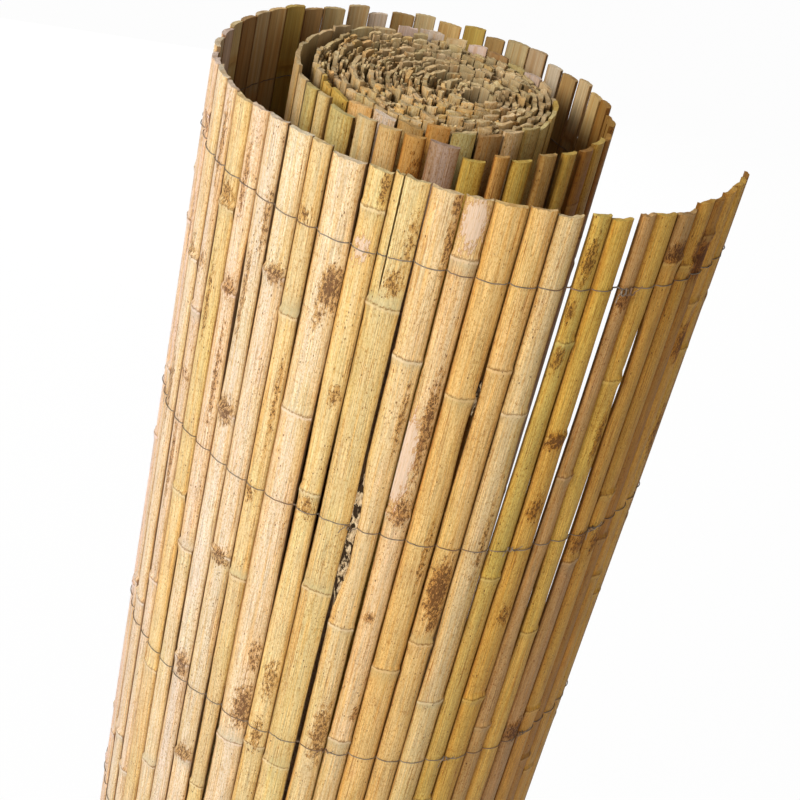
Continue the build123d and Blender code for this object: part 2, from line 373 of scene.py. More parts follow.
# Reeds that keep the round of the solids, and degrees of round that the others keep
ROUND_REEDS, FLATTER_ROUND = 15, (48, 66)
# Reeds whose nodes stay low, and the share of the bulge that they keep
LOW_NODES, LOW_BULGE = {0, *range(47, 56)}, 0.3
# Node ring: reach above and below, share that swells sideways, and the groove above it
RING_ABOVE, RING_BELOW, RING_SIDEWAYS = 1.5, 4.2, 0.6
GROOVE, GROOVE_PLACE, GROOVE_REACH = 0.35, 2.6, 1.1
NODE_BLEND = 3.0
# Lumps of a ring: share and waves across, coarse and fine, and waves on the cracked reed
LUMPS, LUMP_WAVES, FINE_LUMPS, FINE_WAVES, CRACKED_WAVES = 0.3, 5, 0.2, 13, 9
# Wall across the hollow at a node: share that it fills, and reach
NODE_WALL, WALL_REACH = 0.85, 1.8
# Where edges of the flatter reeds start to fall, as a share of the half width, and fall per half width
EDGE_START, EDGE_FALL = 0.75, 1.8
# Where edges start to be ragged, and how deep
RAGGED_START, RAGGED_DEPTH = 0.7, 0.10
# Wander of a reed: sideways as a share of its gap and at most, and outwards
WANDER_SHARE, MOST_WANDER, WANDER_OUT = 0.06, 0.12, 0.3
SLIT_SHARE, SLIT_RISE, SLIT_POWER = 0.62, 1.4, 0.7


def seed_reed(reed):
    """The reed whose random values a reed takes: both strips of the cracked one share theirs."""
    return min(CRACKED) if reed in CRACKED else reed


class OpenReed:
    """One reed of the loose turns: its section at any height, with nodes, taper and wander."""

    def __init__(self, reed):
        rng = np.random.default_rng(REED_SEED + seed_reed(reed))
        self.reed = reed
        self.offset = CRACKED.get(reed)
        _, self.half, self.heading = chord(reed, EDGE_THICKNESS)
        self.inner_middle, self.inner_half, _ = chord(reed, 0)
        self.nodes = pick_nodes(rng, reed)
        drop = FRONT_DROP if reed < FRONT_REEDS else BACK_DROP
        self.top = SCREEN_HEIGHT - rng.uniform(0, 1) ** 2 * drop
        self.slant = rng.uniform(-0.8, 0.8)
        self.bottom = 0.0 if reed % 5 == 0 else rng.uniform(0, 1.5)
        self.room = max(min(gap_width(reed), gap_width(reed + 1)), 0.3)
        self.widths = 1 - 0.05 * rng.uniform(0, 1, len(self.nodes) + 1) ** 1.5
        self.bulge = rng.uniform(0.6, 1.1, len(self.nodes))
        self.bands = rng.uniform(0.3, 1.0, len(self.nodes))
        self.band_reach = rng.uniform(4.0, 9.0, len(self.nodes))
        self.wander = smooth_noise(rng, 2, SCREEN_HEIGHT, 170.0)
        self.ragged = smooth_noise(rng, 2, SCREEN_HEIGHT, 11.0)
        self.turn = math.radians(rng.uniform(-4, 4))
        self.round = math.radians(OPEN_ROUND if reed < ROUND_REEDS else rng.uniform(*FLATTER_ROUND))
        self.lumps = rng.uniform(0, 2 * math.pi, len(self.nodes))
        if self.offset is not None:
            self.widths, self.turn = np.ones(len(self.nodes) + 1), 0.0
        if reed in LOW_NODES:
            self.bulge = self.bulge * LOW_BULGE
        self.sink = rng.uniform(-0.35, 0.15)
        self.tint = rng.uniform(-1, 1, 3)
        self.shades = rng.uniform(-1, 1, (len(self.nodes) + 1, 3))

    def heights(self, fine):
        """Heights of the rings, closer together in the fine upper part and at the nodes."""
        depths = [*np.arange(0, fine, FINE_STEP), *np.arange(fine, SCREEN_HEIGHT, PLAIN_STEP)]
        for node in self.nodes:
            depths = [depth for depth in depths if abs(depth - node) > NODE_ROOM or depth == 0]
            depths += [node + step for step in NODE_STEPS if abs(step) < NEAR_STEPS or node > fine]
        lowest = SCREEN_HEIGHT - FOOT_CLEAR
        depths = np.array(sorted(depth for depth in depths if TOP_CLEAR < depth < lowest))
        between = self.top - depths * (self.top - self.bottom) / SCREEN_HEIGHT
        heights = np.concatenate([[self.top], between, [self.bottom]])
        keep = np.concatenate([[True], np.diff(heights) < -LEAST_STEP])
        return heights[keep]

    def node_gap(self, depths):
        """Signed distance to the nearest node, positive above it, and that node's number."""
        away = self.nodes[None, :] - depths[:, None]
        nearest = np.argmin(np.abs(away), axis=1)
        return away[np.arange(len(depths)), nearest], nearest

    def blend(self, values, depths):
        """Values of the internodes, blended over each node."""
        result = np.broadcast_to(values[0], (len(depths),) + np.shape(values[0])).astype(float)
        for number, node in enumerate(self.nodes):
            share = np.clip((depths - node) / NODE_BLEND + 0.5, 0, 1)
            share = share.reshape((-1,) + (1,) * (result.ndim - 1))
            result = result * (1 - share) + values[number + 1] * share
        return result

    def band(self, depths):
        """Strength of the grey-green band beside the nearest node."""
        gap, nearest = self.node_gap(depths)
        away = gap if self.reed in BAND_ABOVE else -gap
        reach = self.band_reach[nearest]
        fade = np.clip(1.25 - away / reach, 0, 1) * np.clip(away + 0.6, 0, 1)
        return self.bands[nearest] * fade

    def reach(self, depths, side):
        """How far the edge on one side goes past its place in the solid, below zero where a slit opens."""
        line = self.reed if side > 0 else self.reed + 1
        gap = gap_width(line)
        if line in TAIL_GAPS:
            depth, length, extra = TAIL_CLOSING[line]
            reach = gap * ((TAIL_CLOSED + extra) * ease((depths - depth) / length) - extra)
        elif line == CRACK_LINE:
            closing = np.clip((depths - CRACK_DEPTH) / CRACK_FADE, 0, 1)
            reach = CRACK_TOP * gap + ((CRACK_BELOW - CRACK_TOP) * gap + CRACK_LAP) * closing
        elif line <= BOUND_REEDS:
            back_share = BACK_CLOSED if line < BACK_OPEN_LINE else BACK_OPEN
            top_share = CLOSED_SHARE.get(line, FRONT_CLOSED if line <= FRONT_REEDS else back_share)
            closing = np.clip((depths - FADING_DEPTH) / FADING_LENGTH, 0, 1) * (line >= FADING_LINE)
            reach = (top_share + (FADED_SHARE - top_share) * closing) * gap
        else:
            set_back = GAPPED_SET_BACK if gap else CLOSED_SET_BACK
            reach = np.full(len(depths), side * LINE_SHIFT.get(line, 0.0) - set_back)
        for slit, depth, half, opening in SLITS:
            if slit == line:
                opened = np.clip(SLIT_RISE * (1 - np.abs(depths - depth) / half), 0, 1) ** SLIT_POWER
                reach = reach - SLIT_SHARE * opening * opened
        return reach

    def section(self, heights, share, outer=True):
        """Across and outward offsets at shares from -1 to 1 of the width, at each height."""
        depths = SCREEN_HEIGHT - heights
        width = self.blend(self.widths, depths)[:, None]
        gap, nearest = self.node_gap(depths)
        ring = self.bulge[nearest] * np.exp(-(gap / np.where(gap > 0, RING_ABOVE, RING_BELOW)) ** 2)
        groove = GROOVE * np.exp(-((gap - GROOVE_PLACE) / GROOVE_REACH) ** 2)
        swell, lump = (ring - groove)[:, None], self.lumps[nearest][:, None]
        drift, tilt = self.wander(depths)
        share = np.asarray(share)[None, :]
        if outer and self.offset is not None:
            x = self.half * share * width
            arc = CRACKED_HALF / math.sin(CRACKED_EDGE)
            angle = np.arcsin((x + self.offset) / arc)
            y = EDGE_THICKNESS + arc * (np.cos(angle) - math.cos(CRACKED_EDGE))
            x = x + swell * np.sin(angle) * RING_SIDEWAYS
            y = y + swell * np.cos(angle) * (1 + LUMPS * np.sin(angle * CRACKED_WAVES + lump))
        elif outer:
            edge = self.round / 2
            angle = share * edge
            flat = math.tan(math.radians(OPEN_ROUND) / 4) - math.tan(edge / 2)
            x = self.half * width * np.sin(angle) / math.sin(edge)
            bow = (np.cos(angle) - math.cos(edge)) / math.sin(edge)
            y = EDGE_THICKNESS + self.half * width * (bow + flat)
            if self.reed >= ROUND_REEDS:
                y = y - EDGE_FALL * np.clip(np.abs(share) - EDGE_START, 0, 1)
            lumpy = swell * (1 + LUMPS * np.sin(share * LUMP_WAVES + lump)
                             + FINE_LUMPS * np.sin(share * FINE_WAVES + 2 * lump))
            x = x + swell * np.sin(angle) * RING_SIDEWAYS
            y = y + lumpy * np.cos(angle)
        else:
            x = self.inner_half * width * share
            wall = NODE_WALL * np.exp(-(gap / WALL_REACH) ** 2)
            y = (rise(2 * self.inner_half, OPEN_HOLLOW) * (1 - wall))[:, None] * (1 - share ** 2)
        for side in (-1, 1):
            x = x + np.where(share * side > 0, share * self.reach(depths, side)[:, None], 0)
        ragged = self.ragged(depths)
        near_edge = np.clip((np.abs(share) - RAGGED_START) / (1 - RAGGED_START), 0, 1)
        at_side = np.where(share > 0, ragged[0][:, None], ragged[1][:, None])
        x = x - np.sign(share) * near_edge * RAGGED_DEPTH * (1 + at_side)
        for reed, depth, side, reach, loss in TORN:
            if reed == self.reed:
                bite = loss * ease(TORN_RISE * (1 - np.abs(depths - depth) / reach))[:, None]
                bite = bite * (1 + TORN_RAGGED * ragged[0][:, None])
                edge_share = np.clip((side * share + TORN_SPREAD) / (1 + TORN_SPREAD), 0, 1)
                x = x - side * bite * edge_share
        x = x + drift[:, None] * min(self.room * WANDER_SHARE, MOST_WANDER)
        lift = self.sink + WANDER_OUT * tilt[:, None]
        return x * math.cos(self.turn), y + lift - x * math.sin(self.turn)

    def world(self, x, y, heights, slant=True):
        """Points in the part's plan from across and outward offsets."""
        tangent, normal = directions(self.heading)
        base = self.inner_middle - plan_middle
        plan = base + x[..., None] * tangent + y[..., None] * normal
        z = np.broadcast_to(heights[:, None], x.shape)
        if slant:
            share = np.clip((z - self.top + SLANT_REACH) / SLANT_REACH, 0, 1)
            z = z - share * (0.8 - self.slant * x / self.half) * 0.5
        return np.concatenate([plan, z[..., None]], axis=-1)

    def strand(self, level, shares, lift=0.0, outer=True):
        """Points of a wire across the reed at a height, lifted off its outer or inner face."""
        here = np.array([level])
        x, y = self.section(here, shares, outer)
        return self.world(x, y + lift, here, slant=False)[0]


def mark_values(reed, depths, share):
    """Stain, speck and peel at each ring and point of a reed."""
    values = {}
    for kind, marks in MARKS.items():
        values[kind] = np.zeros((len(depths), len(share)))
        for at_reed, depth, across, reach, spread, strength in marks:
            if at_reed == reed:
                near = ((depths - depth) / reach)[:, None] ** 2 + ((share - across) / spread)[None, :] ** 2
                values[kind] = np.maximum(values[kind], strength * np.exp(-near * MARK_FALL))
    return values


# Values at the points of the reeds that the looks read
REED_VALUES = {"tone": "FLOAT_COLOR", "marks": "FLOAT_COLOR", "reed_place": "FLOAT_VECTOR",
               "node_gap": "FLOAT", "band": "FLOAT"}


class ReedMesh:
    """Gathers the strips of one piece with their values."""

    def __init__(self):
        self.points, self.faces, self.kinds, self.size = [], [], [], 0
        self.values = {key: [] for key in REED_VALUES}

    def add(self, rings, skin_points, caps, tone, marks, across, depths, at_edge, gap, band):
        """Adds a closed strip from its rings of points, top first, with values at each ring or point."""
        rows, loop = rings.shape[:2]
        self.points.append(rings.reshape(-1, 3))
        for ring in range(rows - 1):
            above, below = self.size + ring * loop, self.size + (ring + 1) * loop
            for k in range(loop):
                after = (k + 1) % loop
                self.faces.append((above + k, below + k, below + after, above + after))
                self.kinds.append(SKIN if k < skin_points - 1 else HOLLOW)
        for base, order in ((self.size, 1), (self.size + (rows - 1) * loop, -1)):
            for cap in caps:
                self.faces.append([base + k for k in cap][::order])
                self.kinds.append(END)
        self.size += rows * loop
        place_at = np.zeros((rows, loop, 3))
        place_at[..., 0], place_at[..., 1], place_at[..., 2] = across, depths[:, None], at_edge
        self.values["tone"].append(np.repeat(tone, loop, axis=0))
        self.values["marks"].append(np.broadcast_to(marks, (rows, loop, 3)).reshape(-1, 3))
        self.values["reed_place"].append(place_at.reshape(-1, 3))
        self.values["node_gap"].append(np.repeat(gap, loop))
        self.values["band"].append(np.repeat(band, loop))

    def piece(self, name, materials):
        """The gathered strips as one piece of reed."""
        attributes = {}
        for key, kind in REED_VALUES.items():
            flat = np.concatenate(self.values[key])
            if kind == "FLOAT_COLOR":
                flat = np.concatenate([flat, np.ones((len(flat), 1))], axis=1)
            attributes[key] = (kind, flat)
        piece = mesh_object(name, np.concatenate(self.points), self.faces, materials, self.kinds, attributes)
        return piece


# Place of the reeds in the looks' grain: step from reed to reed, start of the hollow face, width of the skin
PLACE_STEP, HOLLOW_PLACE, SKIN_ARC = 150, 60, 1.07
# Spread of the tone along a reed, and of its red, green and blue
SHADE_SPREAD, TINT_SPREAD = 0.05, np.array([0.0, 0.025, 0.05])
LEAST_SPECKS, SPECK_SPREAD = 0.10, 0.22


def open_reeds(name, reeds, fine, tones, materials):
    """One piece of the loose turns, reed beside reed."""
    gathered = ReedMesh()
    outer_share = np.linspace(1, -1, OUTER_POINTS)
    inner_share = np.linspace(-1, 1, INNER_POINTS)
    share = np.concatenate([outer_share, inner_share])
    caps = [(2 * k, 2 * k + 1, 2 * k + 2, LOOP - 2 - k, LOOP - 1 - k) for k in range(INNER_POINTS - 1)]
    for number in reeds:
        reed = OpenReed(number)
        rng = np.random.default_rng(TOP_SEED + seed_reed(number))
        heights = reed.heights(fine)
        depths = SCREEN_HEIGHT - heights
        outer = reed.world(*reed.section(heights, outer_share), heights)
        inner = reed.world(*reed.section(heights, inner_share, outer=False), heights)
        rings = np.concatenate([outer, inner], axis=1)
        ragged = FRONT_RAGGED if number < FRONT_REEDS else BACK_RAGGED
        rings[0, :, 2] -= ragged * rng.uniform(0, 1, LOOP) ** 2
        parts = [TONES[part] for part in PART_TONES.get(number, (tones[number],))]
        tone = reed.blend(np.array(parts + parts[-1:] * (len(reed.nodes) + 1 - len(parts))), depths)
        shade = reed.blend(reed.shades, depths)
        tone = tone * (1 + SHADE_SPREAD * shade[:, :1]) * (1 + TINT_SPREAD * (reed.tint + shade))
        across = np.concatenate([outer_share * reed.half * SKIN_ARC, inner_share * reed.half + HOLLOW_PLACE])
        at_edge = np.abs(share)
        if reed.offset is not None:
            on_reed = outer_share * reed.half + reed.offset
            across[:OUTER_POINTS] = on_reed + PLACE_STEP * (min(CRACKED) - number)
            at_edge[:OUTER_POINTS] = np.abs(on_reed) / CRACKED_HALF
        values = mark_values(number, depths, share)
        specks = np.maximum(values["speck"], LEAST_SPECKS + SPECK_SPREAD * rng.uniform() ** 2)
        marks = np.stack([values["stain"], specks, values["peel"]], axis=-1)
        gathered.add(rings, OUTER_POINTS, caps, tone, marks, across + PLACE_STEP * number, depths, at_edge,
                     reed.node_gap(depths)[0], reed.band(depths))
    return gathered.piece(name, materials)


CORE_OUTER = 5
CORE_INNER = 4
CORE_LOOP = CORE_OUTER + CORE_INNER
CORE_CAPS = ((0, 1, 7, 8), (1, 2, 3, 6, 7), (3, 4, 5, 6))
CORE_DEPTHS = (0, 2.5, 8, 25, 1000)
# Painted shade: the core's split strips and slivers are a little lighter at the top and darker with depth,
# where little light reaches between the turns
CORE_PAINTED_SHADE = (1.06, 0.85, 0.62, 0.5)     # tone of the split strips at those depths, and below
CORE_MARKS = (0.0, 0.3, 0.0)
FAR_NODE = 99.0
WHOLE_REEDS = 98
# Furthest split from the middle of a reed, as a share of its half width
SPLIT_PLACE = 0.3
# Slivers behind a split reed: nearest place, room that the next layer needs, thickness and air of a layer,
# and starts, width and odds of the slivers in it
SLIVER_PLACE, SLIVER_ROOM, SLIVER_THICK, SLIVER_AIR = 0.3, 1.0, (0.7, 1.1), (0.3, 0.9)
SLIVER_STARTS, SLIVER_WIDTH, SLIVER_ODDS = (-1.0, -0.33, 0.33), (0.5, 0.66), 0.75
# Drop of the tops: least, range and power for whole reeds and for strips, and more of it for slivers
WHOLE_DROP, STRIP_DROP, SLIVER_DROP = (0.3, 3.0, 1.5), (0.6, 5.0, 1.4), (0.5, 4.5)
# Reeds further on in the roll that may lie behind one, and how far they may stand past its edges
BEHIND_FIRST, BEHIND_LAST, BEHIND_PAST = 4, 40, 2


def core_room(number):
    """Free depth behind a rolled reed, up to the crowns of the turn inside it."""
    middle, half, heading = chord(number, 0)
    tangent, normal = directions(heading)
    room = math.inf
    for inner in range(number + BEHIND_FIRST, min(reed_count, number + BEHIND_LAST)):
        other, other_half, other_heading = chord(inner, EDGE_THICKNESS)
        crown = np.array(outwards(other, other_heading, rise(2 * other_half, ROLLED_ROUND)))
        depth = (middle - crown) @ normal
        if abs((crown - middle) @ tangent) < half + BEHIND_PAST and depth > 0:
            room = min(room, depth)
    return room if room < math.inf else 0.0


def core_reeds(name, reeds, materials):
    """The rolled core: whole reeds outside, strips with slivers behind them inside, with jumbled tops."""
    gathered = ReedMesh()
    depths = np.array(CORE_DEPTHS, float)
    edge = math.radians(ROLLED_ROUND) / 2
    for number in reeds:
        rng = np.random.default_rng(CORE_SEED + number)
        _, half, heading = chord(number, EDGE_THICKNESS)
        inner_middle, inner_half, _ = chord(number, 0)
        tangent, normal = directions(heading)
        room = core_room(number)
        cut = rng.uniform(-SPLIT_PLACE, SPLIT_PLACE)
        whole = number < WHOLE_REEDS
        shares = ((-1.0, 1.0),) if whole else ((-1.0, cut), (cut, 1.0))
        strips = [(low, high, 0.0, EDGE_THICKNESS) for low, high in shares]
        behind = SLIVER_PLACE
        while not whole and room - behind > SLIVER_ROOM:
            thick = rng.uniform(*SLIVER_THICK)
            for low in SLIVER_STARTS:
                if rng.uniform() < SLIVER_ODDS:
                    strips.append((low, low + rng.uniform(*SLIVER_WIDTH), behind + thick, thick))
            behind += thick + rng.uniform(*SLIVER_AIR)
        for low, high, sunk, thick in strips:
            least, spread, power = WHOLE_DROP if whole else STRIP_DROP
            drop = least + spread * rng.uniform() ** power
            top = SCREEN_HEIGHT - drop - (rng.uniform(*SLIVER_DROP) if sunk else 0.0)
            bottom = 0.0 if number % 6 == 0 else rng.uniform(0, 1.5)
            spare = (high - low) * rng.uniform(0.03, 0.06 if not whole else 0.08)
            outer_share = np.linspace(high - spare, low + spare, CORE_OUTER)
            inner_share = np.linspace(low + spare, high - spare, CORE_INNER)
            share = np.concatenate([outer_share, inner_share])
            turn = math.radians(rng.uniform(-3, 3) * (1 if whole else 2))
            heights = top - depths * (top - bottom) / SCREEN_HEIGHT
            angle = outer_share * edge
            x = np.concatenate([half * np.sin(angle) / math.sin(edge), inner_half * inner_share])
            crown = half * (np.cos(angle) - math.cos(edge)) / math.sin(edge)
            flat = 0.3 if sunk else 1.0
            y = np.concatenate([thick + crown * flat, 0.6 * (1 - inner_share ** 2) * flat]) - sunk
            y = y - (x - x.mean()) * math.sin(turn)
            rings = np.zeros((len(heights), CORE_LOOP, 3))
            rings[..., :2] = inner_middle - plan_middle + x[:, None] * tangent + y[:, None] * normal
            rings[..., 2] = heights[:, None]
            slant = rng.uniform(-0.22, 0.22)
            ragged = rng.uniform(-0.5, 0.5, CORE_LOOP)
            rings[0, :, 2] -= np.clip(0.7 + slant * (x - x.mean()) + ragged, 0, 2.2)
            lot = CORE_TONES[int(rng.integers(len(CORE_TONES)))]
            tone = np.array(TONES[OTHER_TONES.get(number, lot)]) * (1 + 0.12 * rng.uniform(-1, 1))
            tone = tone * (1 + 0.03 * rng.uniform(-1, 1, 3))
            # Painted shade on the split strips: tone scaled by depth below the top
            painted_shade = np.ones(len(heights)) if whole else np.interp(depths, CORE_DEPTHS[:-1], CORE_PAINTED_SHADE)
            at_edge = np.abs(2 * (share - low) / (high - low) - 1)
            gathered.add(rings, CORE_OUTER, CORE_CAPS, painted_shade[:, None] * tone, CORE_MARKS,
                         share * half + PLACE_STEP * number, depths, at_edge,
                         np.full(len(heights), FAR_NODE), np.zeros(len(heights)))
    return gathered.piece(name, materials)


# Materials
class Looks:
    """The nodes of a material or world, made by calls that give back their outputs."""

    def __init__(self, name, kind="materials"):
        self.owner = getattr(bpy.data, kind).new(name)
        self.owner.use_nodes = True
        self.tree = self.owner.node_tree
        self.shader = self.tree.nodes.get("Principled BSDF")

    def put(self, socket, value):
        if isinstance(value, bpy.types.NodeSocket):
            self.tree.links.new(value, socket)
        else:
            socket.default_value = value

    def add(self, kind, inputs, output=0, **settings):
        node = self.tree.nodes.new(kind)
        for key, value in settings.items():
            setattr(node, key, value)
        for key, value in inputs.items():
            self.put(node.inputs[key], value)
        return node.outputs[output]

    def read(self, name, output="Color"):
        return self.add("ShaderNodeAttribute", {}, output, attribute_name=name)

    def math(self, operation, first, second):
        return self.add("ShaderNodeMath", {0: first, 1: second}, operation=operation)

    def times(self, first, second):
        return self.math("MULTIPLY", first, second)

    def stretch(self, vector, scale):
        return self.add("ShaderNodeVectorMath", {0: vector, 1: scale}, operation="MULTIPLY")

    def noise(self, vector, scale, detail=3.0, roughness=0.55):
        return self.add("ShaderNodeTexNoise", {"Vector": self.stretch(vector, scale), "Scale": 1.0,
                                               "Detail": detail, "Roughness": roughness})

    def between(self, value, low, high, to_low=0.0, to_high=1.0):
        return self.add("ShaderNodeMapRange", {"Value": value, "From Min": low, "From Max": high,
                                               "To Min": to_low, "To Max": to_high},
                        interpolation_type="SMOOTHSTEP")

    def mix(self, share, first, second, blend="MIX"):
        node = self.tree.nodes.new("ShaderNodeMix")
        node.data_type = "RGBA"
        node.blend_type = blend
        self.put(node.inputs["Factor"], share)
        for socket, value in ((node.inputs[6], first), (node.inputs[7], second)):
            self.put(socket, value if isinstance(value, bpy.types.NodeSocket) else (*value, 1.0))
        return node.outputs[2]

    def scale(self, colour, factor):
        return self.mix(1.0, colour, factor, "MULTIPLY")

    def tinge(self, colour, value, low, high, share, base, factor):
        """The colour turned towards a multiple of a base colour as a value rises."""
        return self.mix(self.between(value, low, high, 0.0, share), colour, self.scale(base, factor))

    def shades(self, value):
        return self.add("ShaderNodeCombineColor", {0: value, 1: value, 2: value})

    def bump(self, height, strength, distance):
        return self.add("ShaderNodeBump", {"Height": height, "Strength": strength, "Distance": distance})

    def finish(self, colour, roughness, normal, specular=None):
        """Joins the shader's inputs and gives back the material."""
        for key, value in (("Base Color", colour), ("Roughness", roughness), ("Normal", normal)):
            self.put(self.shader.inputs[key], value)
        if specular is not None:
            self.put(self.shader.inputs["Specular IOR Level"], specular)
        return self.owner


def skin_looks():
    """The round outer face of a reed: grain, streaks, specks, stains and node bands, with painted shade
    towards its edges.
    """
    look = Looks("reed_skin")
    tone, place_at = look.read("tone"), look.read("reed_place", "Vector")
    split = look.add("ShaderNodeSeparateColor", {"Color": look.read("marks")}, 0).node
    stain_at, speck_at, peel_at = split.outputs
    across_share = look.add("ShaderNodeSeparateXYZ", {"Vector": place_at}, 2)
    gap = look.read("node_gap", "Fac")

    fibre = look.noise(place_at, (2.1, 0.035, 0.0), 4.0, 0.6)
    grain = look.noise(place_at, (1.5, 0.55, 0.0), 3.0, 0.75)
    fleck = look.noise(place_at, (1.1, 0.16, 0.0), 5.0, 0.7)
    streak = look.noise(place_at, (0.5, 0.009, 0.0), 3.0)
    vein = look.noise(place_at, (1.3, 0.012, 0.0), 3.0, 0.6)
    blotch = look.noise(place_at, (0.13, 0.035, 0.0), 4.0)
    flush = look.noise(place_at, (0.06, 0.012, 0.0), 2.0)
    # More golden away from the crown: partly the reed's own sun-bleached crown, partly painted shade and
    # bounced light on the sides that turn from the lamps
    colour = look.tinge(tone, across_share, 0.25, 0.95, 0.75, tone, (0.96, 0.82, 0.56))
    colour = look.tinge(colour, streak, 0.48, 0.68, 0.75, colour, (0.97, 0.80, 0.52))
    colour = look.tinge(colour, blotch, 0.54, 0.74, 0.5, colour, (1.03, 0.97, 1.06))
    colour = look.tinge(colour, flush, 0.52, 0.66, 0.45, colour, (0.93, 0.97, 0.80))
    colour = look.scale(colour, look.shades(look.between(fibre, 0.3, 0.70, 0.68, 1.17)))
    colour = look.tinge(colour, grain, 0.46, 0.62, 0.8, colour, (0.80, 0.66, 0.44))
    colour = look.tinge(colour, fleck, 0.52, 0.66, 0.85, colour, (0.78, 0.60, 0.38))
    crowd = look.noise(place_at, (0.09, 0.022, 0.0), 3.0)
    freckle = look.noise(place_at, (0.95, 0.42, 0.0), 6.0, 0.8)
    freckled = look.times(look.between(freckle, 0.55, 0.60), look.between(crowd, 0.44, 0.58, 0.05, 0.95))
    colour = look.mix(freckled, colour, look.scale(colour, (0.54, 0.36, 0.20)))
    lined = look.times(look.between(vein, 0.585, 0.66), look.between(blotch, 0.44, 0.56, 0.15, 0.95))
    colour = look.mix(lined, colour, look.scale(colour, (0.58, 0.39, 0.22)))
    # Painted shade: darker towards both edges, where the reed turns away from the light and meets the gap
    colour = look.tinge(colour, across_share, 0.80, 1.0, 0.75, colour, (0.52, 0.38, 0.23))

    # A grey-green band beside each node, and a broken brown ring with a scaly pale rim
    mottle = look.noise(place_at, (0.7, 0.45, 0.0), 4.0, 0.65)
    band = look.times(look.read("band", "Fac"), look.between(mottle, 0.3, 0.65, 0.5, 1.0))
    colour = look.mix(look.times(band, 0.75), colour, look.scale(tone, (0.62, 0.70, 0.74)))
    ragged_gap = look.math("ADD", gap, look.between(mottle, 0.2, 0.8, -0.6, 0.6))
    rim = look.times(look.between(ragged_gap, -2.6, -1.4), look.between(ragged_gap, -0.3, -0.9))
    colour = look.mix(look.times(rim, 0.6), colour, look.scale(tone, (0.98, 0.98, 1.10)))
    line = look.times(look.between(ragged_gap, -0.8, -0.1), look.between(ragged_gap, 0.9, 0.15))
    colour = look.mix(look.times(line, look.between(grain, 0.38, 0.58, 0.2, 0.95)), colour,
                      look.scale(tone, (0.36, 0.25, 0.16)))

    # Specks: small dark cells, more of them where the reed is marked
    cells_at = look.stretch(place_at, (1.0, 0.5, 0.0))
    cell = look.add("ShaderNodeTexVoronoi", {"Vector": cells_at, "Scale": 1.0}).node
    lot = look.add("ShaderNodeSeparateColor", {"Color": cell.outputs["Color"]}).node
    size = look.between(lot.outputs[1], 0.0, 1.0, 0.08, 0.36)
    dot = look.between(look.math("SUBTRACT", cell.outputs["Distance"], size), 0.05, -0.05)
    chosen = look.math("LESS_THAN", lot.outputs[0], look.times(speck_at, 0.36))
    speck = look.times(dot, chosen)
    colour = look.mix(look.times(speck, look.between(lot.outputs[2], 0.0, 1.0, 0.45, 0.95)), colour,
                      look.scale(tone, (0.26, 0.16, 0.09)))

    # Stains: amber halos with dark brown hearts and jagged borders
    jag = look.noise(place_at, (0.62, 0.20, 0.0), 7.0, 0.68)
    depth = look.math("ADD", stain_at, look.between(jag, 0.2, 0.8, -0.5, 0.5))
    halo = look.between(depth, 0.36, 0.62)
    broken = look.math("ADD", depth, look.between(freckle, 0.42, 0.62, 0.34, -0.60))
    heart = look.between(broken, 0.62, 0.88)
    colour = look.mix(look.times(halo, 0.78), colour, look.scale(tone, (0.66, 0.44, 0.20)))
    dark = look.scale(tone, look.shades(look.between(fleck, 0.3, 0.7, 0.6, 1.5)))
    colour = look.mix(look.times(heart, 0.9), colour, look.scale(dark, (0.15, 0.080, 0.045)))

    # Peeled skin: a pale pink patch inside a ragged brown border
    torn = look.math("ADD", peel_at, look.between(jag, 0.2, 0.8, -0.42, 0.42))
    border = look.between(torn, 0.34, 0.44)
    inside = look.between(torn, 0.46, 0.50)
    colour = look.mix(look.times(border, 0.75), colour, look.scale(tone, (0.62, 0.36, 0.18)))
    bare = look.scale(look.shades(look.between(fibre, 0.3, 0.7, 0.80, 1.06)), (0.73, 0.56, 0.42))
    bare = look.tinge(bare, fleck, 0.50, 0.66, 0.7, bare, (0.84, 0.64, 0.42))
    colour = look.mix(look.times(inside, 0.85), colour, bare)
    rough = look.math("ADD", look.between(fibre, 0.3, 0.7, 0.42, 0.58), look.times(halo, 0.15))
    height = look.math("ADD", look.times(fibre, 0.7), look.times(grain, 0.4))
    height = look.math("SUBTRACT", height, look.times(speck, 0.5))
    height = look.math("SUBTRACT", height, look.times(inside, 0.6))
    return look.finish(colour, rough, look.bump(height, 0.6, 0.0004), 0.2)


def hollow_looks():
    """The hollow inner face and split edges: dull, fibrous and browner, kept darker partly as painted shade
    in the gaps between reeds.
    """
    look = Looks("reed_hollow")
    tone, place_at = look.read("tone"), look.read("reed_place", "Vector")
    gap = look.read("node_gap", "Fac")
    fibre = look.noise(place_at, (1.5, 0.02, 0.0), 5.0, 0.65)
    streak = look.noise(place_at, (0.35, 0.008, 0.0), 3.0)
    across_share = look.add("ShaderNodeSeparateXYZ", {"Vector": place_at}, 2)
    # Darker than the skin: partly the hollow's own browner colour, partly painted shade that keeps the gaps
    # between reeds dark
    colour = look.scale(tone, look.shades(look.between(fibre, 0.28, 0.72, 0.50, 0.86)))
    colour = look.tinge(colour, streak, 0.42, 0.66, 0.7, tone, (0.58, 0.44, 0.28))
    # Painted shade: much darker towards the split edges, which face the gaps between reeds
    colour = look.tinge(colour, across_share, 0.86, 1.0, 0.85, tone, (0.30, 0.20, 0.11))
    near = look.times(look.between(gap, -5.0, -1.0), look.between(gap, 5.0, 1.0))
    colour = look.mix(look.times(near, 0.6), colour, look.scale(tone, (0.55, 0.40, 0.26)))
    return look.finish(colour, look.between(fibre, 0.3, 0.7, 0.68, 0.88), look.bump(fibre, 0.7, 0.0004), 0.12)


